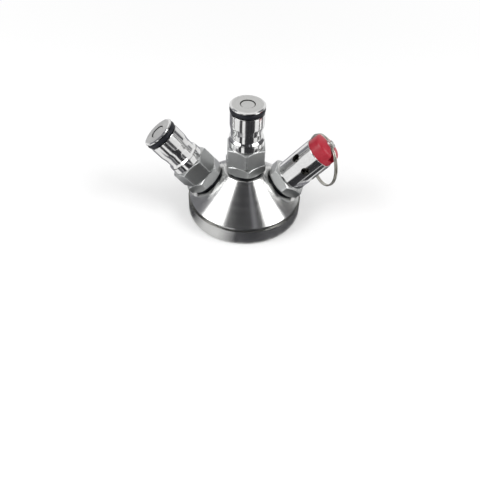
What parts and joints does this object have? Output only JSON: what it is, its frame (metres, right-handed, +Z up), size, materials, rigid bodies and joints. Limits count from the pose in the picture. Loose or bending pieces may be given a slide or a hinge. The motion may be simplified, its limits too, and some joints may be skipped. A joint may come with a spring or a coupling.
{
  "type": "keg coupler",
  "caption": "Screw-on tapping head for a small keg: conical body, two ball-lock posts and a relief valve with a pull ring.",
  "frame": {"origin": "centre of the skirt's lower face, on the axis of the inside thread", "axes": "+Z up along the liquid post, +X towards the relief valve, -X towards the gas post"},
  "size_m": [0.0967, 0.06, 0.0637],
  "materials": {
    "turned_steel": "turned, satin",
    "polished_steel": "polished",
    "matt_steel": "matt, machined",
    "spring_steel": "drawn wire",
    "red_plastic": "satin",
    "black_rubber": "matt"
  },
  "bodies": {
    "root": {"coupler_body": "turned_steel", "neck_gasket": "black_rubber", "liquid_adapter": "matt_steel", "liquid_adapter_gasket": "black_rubber", "liquid_post": "polished_steel", "liquid_post_oring": "black_rubber", "liquid_poppet_spring": "spring_steel", "liquid_tube": "matt_steel", "liquid_tube_oring": "black_rubber", "gas_adapter": "matt_steel", "gas_adapter_gasket": "black_rubber", "gas_post": "polished_steel", "gas_post_oring": "black_rubber", "gas_poppet_spring": "spring_steel", "valve_body": "polished_steel", "valve_gasket": "black_rubber", "valve_cap": "red_plastic", "valve_spring": "spring_steel"},
    "liquid_plunger": {"liquid_poppet": "matt_steel", "liquid_poppet_seal": "black_rubber"},
    "gas_plunger": {"gas_poppet": "matt_steel", "gas_poppet_seal": "black_rubber"},
    "relief_stem": {"valve_stem": "matt_steel", "valve_disc": "matt_steel", "valve_seal": "black_rubber"},
    "pull_ring": {"pull_ring": "spring_steel"}
  },
  "joints": [
    {"name": "liquid_poppet_push", "type": "slide", "parent": "root", "child": "liquid_plunger", "axis": [0, 0, -1], "range_m": [0, 0.0026], "stiffness_N_per_m": 800, "springref_m": -0.004, "deforming": ["liquid_poppet_spring"]},
    {"name": "gas_poppet_push", "type": "slide", "parent": "root", "child": "gas_plunger", "axis": [0.6488, 0, -0.7609], "range_m": [0, 0.0026], "stiffness_N_per_m": 800, "springref_m": -0.004, "deforming": ["gas_poppet_spring"]},
    {"name": "relief_pull", "type": "slide", "parent": "root", "child": "relief_stem", "axis": [0.6488, 0, 0.7609], "range_m": [0, 0.003], "stiffness_N_per_m": 2500, "springref_m": -0.005, "deforming": ["valve_spring"]},
    {"name": "ring_swing", "type": "hinge", "parent": "relief_stem", "child": "pull_ring", "pos_m": [0.04151, 0, 0.04285], "axis": [-0.3919, 0.8572, 0.3342], "range_deg": [-290, 10]}
  ]
}
